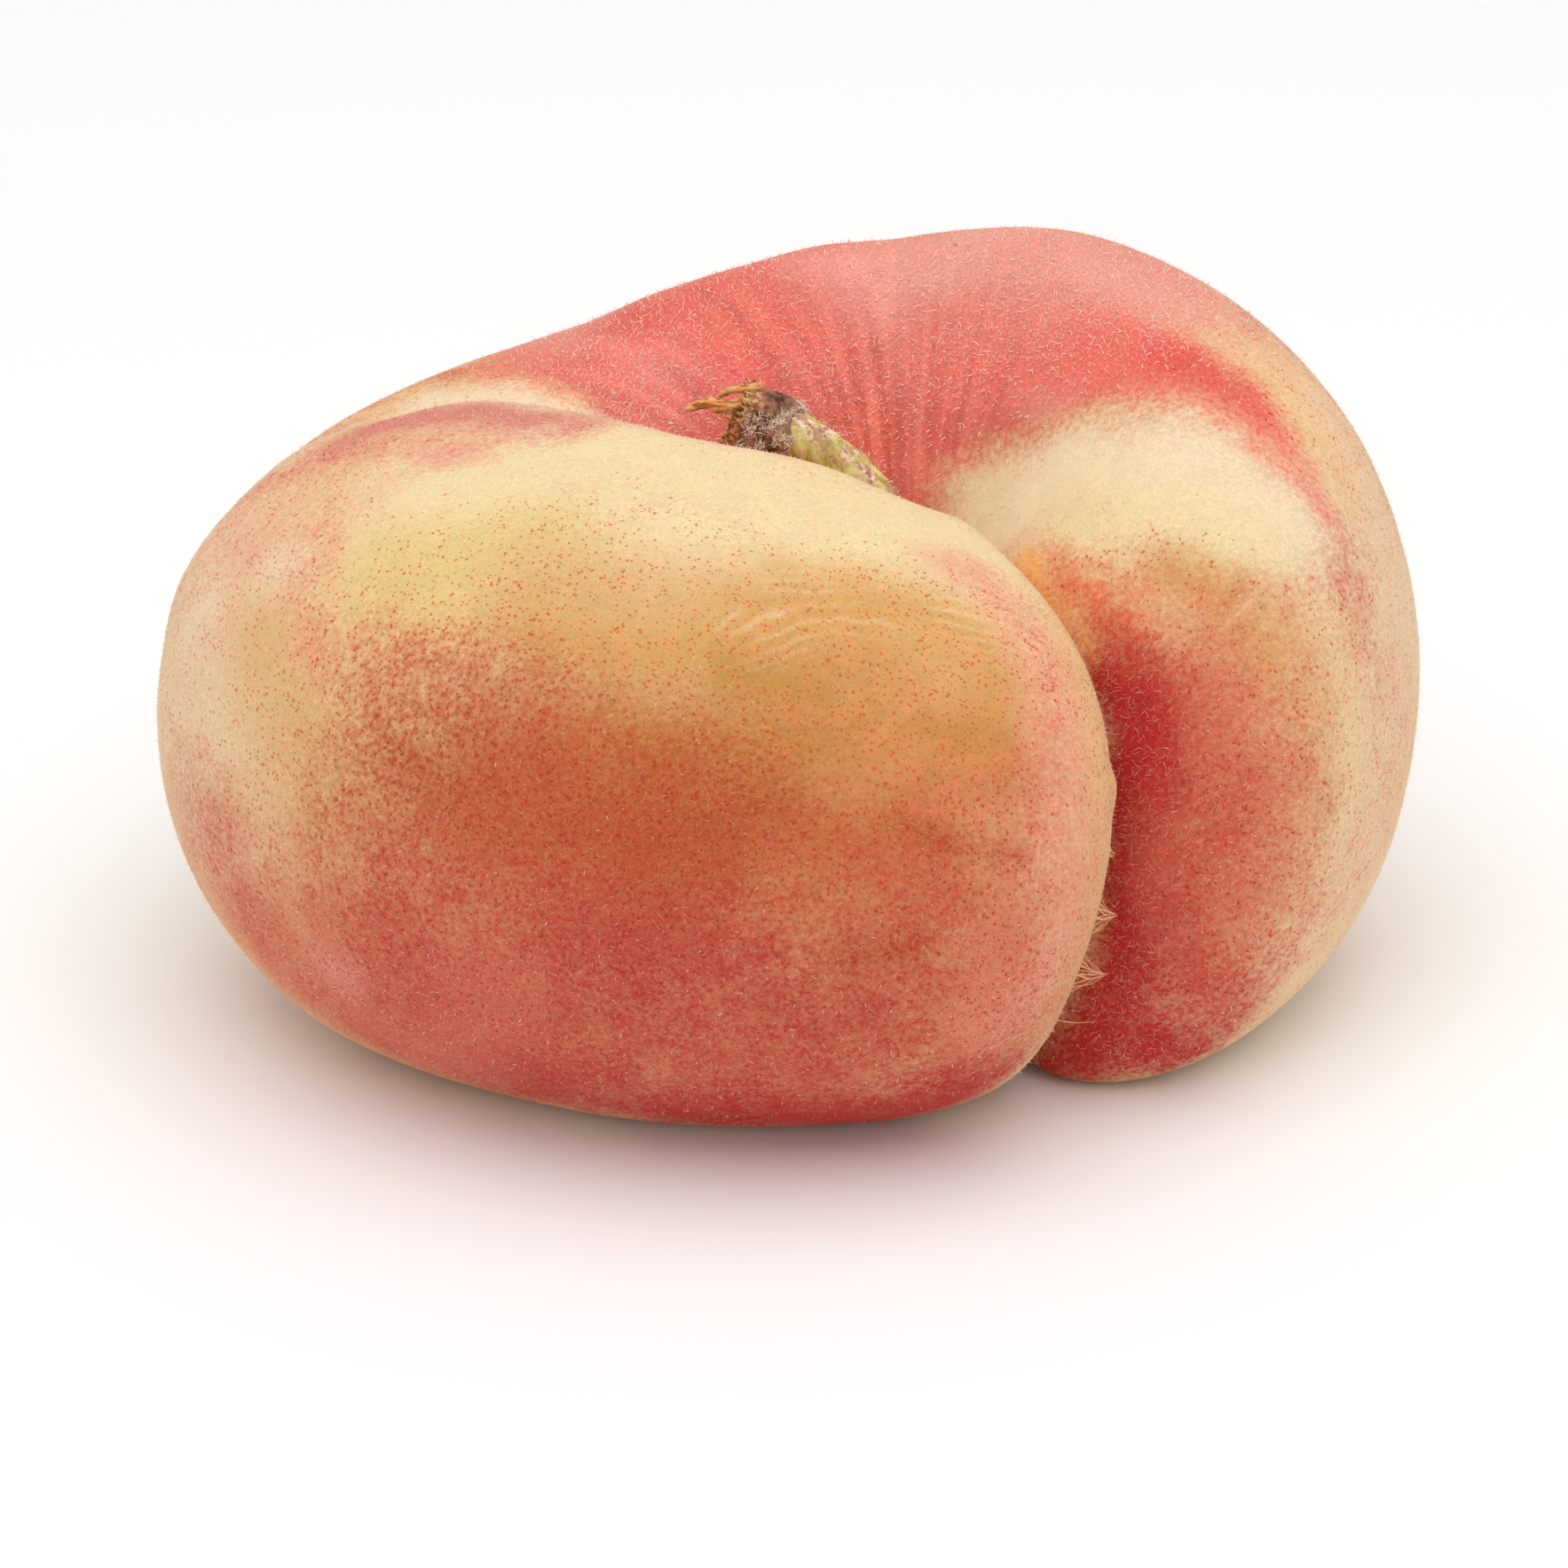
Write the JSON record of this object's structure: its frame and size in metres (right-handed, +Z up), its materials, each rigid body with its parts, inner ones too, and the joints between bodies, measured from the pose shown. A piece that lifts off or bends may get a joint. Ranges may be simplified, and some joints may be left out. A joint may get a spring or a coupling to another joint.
{
  "type": "flat peach with its stalk",
  "caption": "Flat doughnut-type peach with downy cream and red skin, a deep stem cavity and cleft, and its short stalk; a fruit that lies on its base",
  "frame": {"origin": "middle of the bounding box in plan, on the surface that the fruit lies on", "axes": "+Z is up out of the stem cavity, the big overhanging cheek faces -Y, and the suture cleft opens between +X and -Y"},
  "size_m": [0.0814, 0.0668, 0.0455],
  "materials": {
    "peach_skin": "matte",
    "green_stalk": "matte",
    "brown_wood": "matte",
    "torn_bark": "matte"
  },
  "bodies": {
    "root": {"fruit": "peach_skin", "stalk": "green_stalk", "twig_scrap": "brown_wood", "bark_strip_long": "torn_bark", "bark_strip_short": "torn_bark"}
  },
  "joints": []
}
